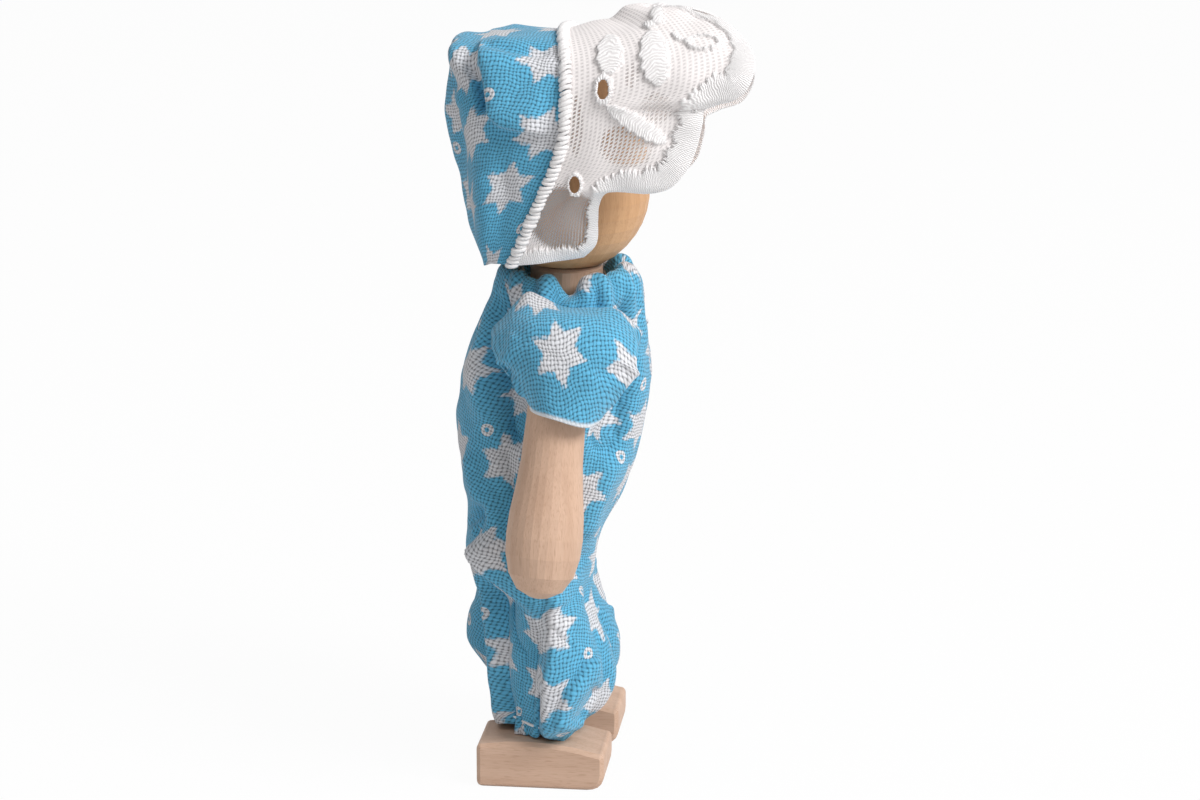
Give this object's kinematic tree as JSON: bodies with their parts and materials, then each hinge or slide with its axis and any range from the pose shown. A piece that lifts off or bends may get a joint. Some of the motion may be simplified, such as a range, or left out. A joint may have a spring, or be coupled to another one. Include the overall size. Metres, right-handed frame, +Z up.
{
  "type": "baby doll",
  "caption": "Small jointed wooden baby doll with turned head and limbs, block feet, a gathered star-print romper and a bonnet with a scalloped lace brim.",
  "frame": {"origin": "middle of the floor rectangle under the doll, at the soles", "axes": "+Z up, the doll faces -Y, its own right side is -X"},
  "size_m": [0.0432, 0.0386, 0.0953],
  "materials": {
    "maple": "fine sanded, waxed",
    "honey_maple": "fine sanded, waxed",
    "pink_beech": "sanded, bare",
    "elastic": "braided",
    "blue_cotton": "plain weave, printed",
    "white_lawn": "sheer lawn, embroidered",
    "white_thread": "spun thread"
  },
  "bodies": {
    "torso": {"torso": "maple", "neck_peg": "pink_beech", "shoulder_cord": "elastic", "hip_cord": "elastic", "romper_bodice": "blue_cotton", "neck_gather_thread": "white_thread"},
    "head": {"head": "honey_maple", "bonnet_cap": "blue_cotton", "lace_brim": "white_lawn", "brim_seam_thread": "white_thread"},
    "right_arm": {"right_arm": "maple", "right_sleeve": "blue_cotton"},
    "left_arm": {"left_arm": "maple", "left_sleeve": "blue_cotton"},
    "right_leg": {"right_leg": "pink_beech", "right_foot": "pink_beech", "right_trouser": "blue_cotton", "right_ankle_thread": "white_thread"},
    "left_leg": {"left_leg": "pink_beech", "left_foot": "pink_beech", "left_trouser": "blue_cotton", "left_ankle_thread": "white_thread"}
  },
  "joints": [
    {"name": "head_turn", "type": "hinge", "parent": "torso", "child": "head", "pos_m": [0, 0.00383, 0.0646], "axis": [0, 0, 1], "continuous": true},
    {"name": "right_shoulder", "type": "hinge", "parent": "torso", "child": "right_arm", "pos_m": [-0.013, 0.00283, 0.0552], "axis": [-1, 0, 0], "range_deg": [-70, 90]},
    {"name": "left_shoulder", "type": "hinge", "parent": "torso", "child": "left_arm", "pos_m": [0.013, 0.00283, 0.0552], "axis": [-1, 0, 0], "range_deg": [-70, 90]},
    {"name": "right_hip", "type": "hinge", "parent": "torso", "child": "right_leg", "pos_m": [-0.0072, 0.00563, 0.028], "axis": [-1, 0, 0], "range_deg": [-15, 90]},
    {"name": "left_hip", "type": "hinge", "parent": "torso", "child": "left_leg", "pos_m": [0.0072, 0.00563, 0.028], "axis": [-1, 0, 0], "range_deg": [-15, 90]}
  ]
}
